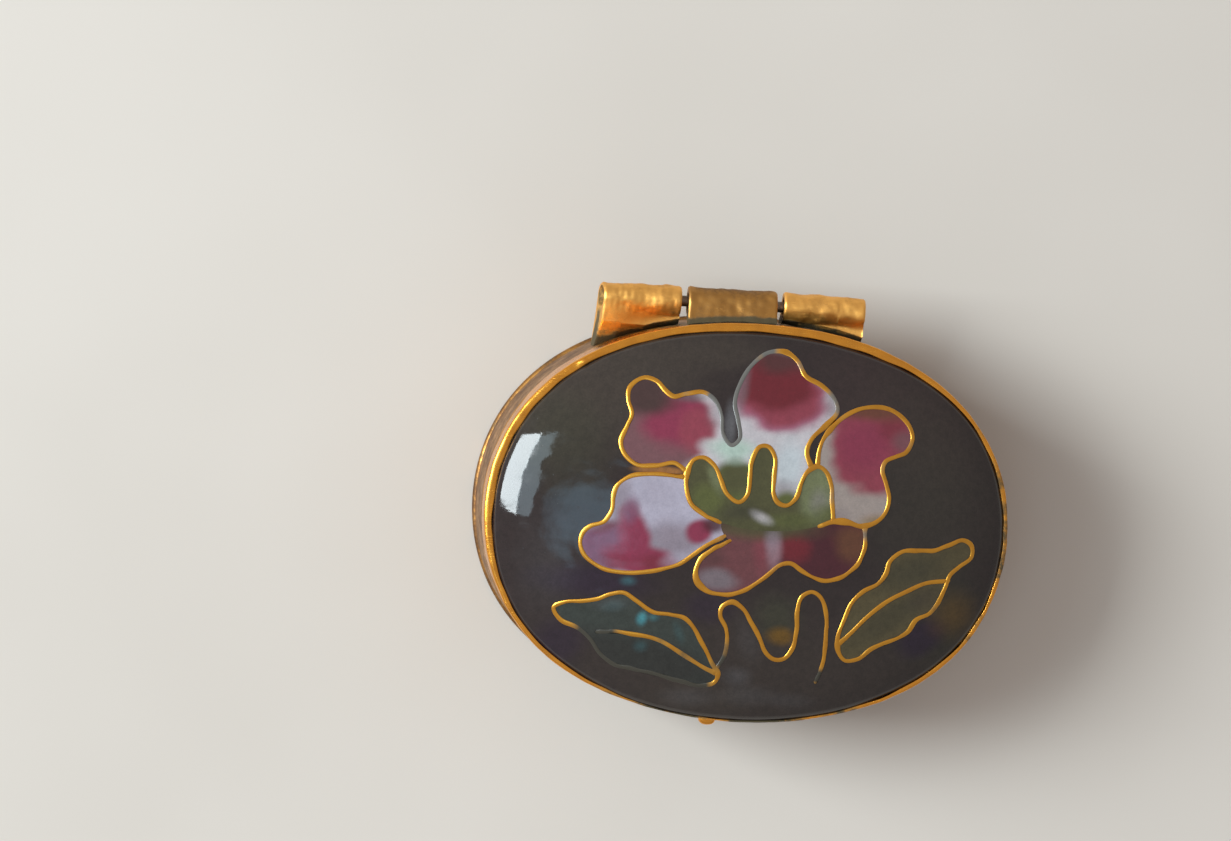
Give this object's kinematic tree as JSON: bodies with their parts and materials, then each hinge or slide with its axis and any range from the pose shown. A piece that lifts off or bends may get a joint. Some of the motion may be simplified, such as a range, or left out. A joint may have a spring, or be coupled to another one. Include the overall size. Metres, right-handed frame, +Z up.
{
  "type": "pill box",
  "caption": "Small oval brass pill box with a hinged domed lid, whose cloisonne enamel shows a magenta and white flower with dark leaves on near-black.",
  "frame": {"origin": "centre of the oval base's underside", "axes": "+X along the oval, +Y towards the hinge, +Z up out of the lid"},
  "size_m": [0.0334, 0.0274, 0.0129],
  "materials": {
    "brass_base": "aged brass sheet with brown and green tarnish",
    "brass_inside": "satin brass, less handled",
    "brass_rim": "burnished golden brass, rubbed bright on its edge",
    "brass_hinge": "golden brass tube with dull brown patches",
    "brass_wire": "flat-ground brass wire, polished with the enamel",
    "steel_pin": "dull steel wire",
    "copper": "fired copper sheet, darkened",
    "enamel_counter": "glossy blue counter enamel with orange-peel surface",
    "enamel_ground": "glossy near-black glass enamel",
    "enamel_magenta": "glossy magenta glass enamel shaded to white",
    "enamel_white": "glossy milky white glass enamel shaded to magenta",
    "enamel_plum": "glossy plum glass enamel with pale streaks",
    "enamel_green": "glossy olive green glass enamel with pale patches",
    "enamel_leaf_dark": "glossy dark green glass enamel with teal specks",
    "enamel_leaf_olive": "glossy dark olive glass enamel"
  },
  "bodies": {
    "base": {"base_floor": "brass_base", "base_wall": "brass_base", "base_collar": "brass_inside", "hinge_knuckle_left": "brass_hinge", "hinge_knuckle_right": "brass_hinge", "hinge_pin": "steel_pin"},
    "lid": {"lid_band": "brass_rim", "lid_bearer": "brass_inside", "thumb_nib": "brass_rim", "dome_plate": "copper", "counter_enamel": "enamel_counter", "hinge_knuckle_centre": "brass_hinge", "wire_centre": "brass_wire", "wire_right_petal": "brass_wire", "wire_upper_petals": "brass_wire", "wire_lower_left_petal": "brass_wire", "wire_bottom_petal": "brass_wire", "wire_leaf_left": "brass_wire", "wire_leaf_left_vein": "brass_wire", "wire_leaf_right": "brass_wire", "wire_leaf_right_vein": "brass_wire", "wire_stem": "brass_wire", "ground_enamel": "enamel_ground", "ground_enamel_chip": "enamel_ground", "enamel_upper_petals": "enamel_magenta", "enamel_right_petal": "enamel_magenta", "enamel_lower_left_petal": "enamel_white", "enamel_bottom_petal": "enamel_plum", "enamel_centre": "enamel_green", "enamel_leaf_left": "enamel_leaf_dark", "enamel_leaf_right_upper": "enamel_leaf_olive", "enamel_leaf_right_lower": "enamel_leaf_olive"}
  },
  "joints": [
    {"name": "lid_hinge", "type": "hinge", "parent": "base", "child": "lid", "pos_m": [-0.0016, 0.01355, 0.0072], "axis": [-1, 0, 0], "range_deg": [0, 112]}
  ]
}
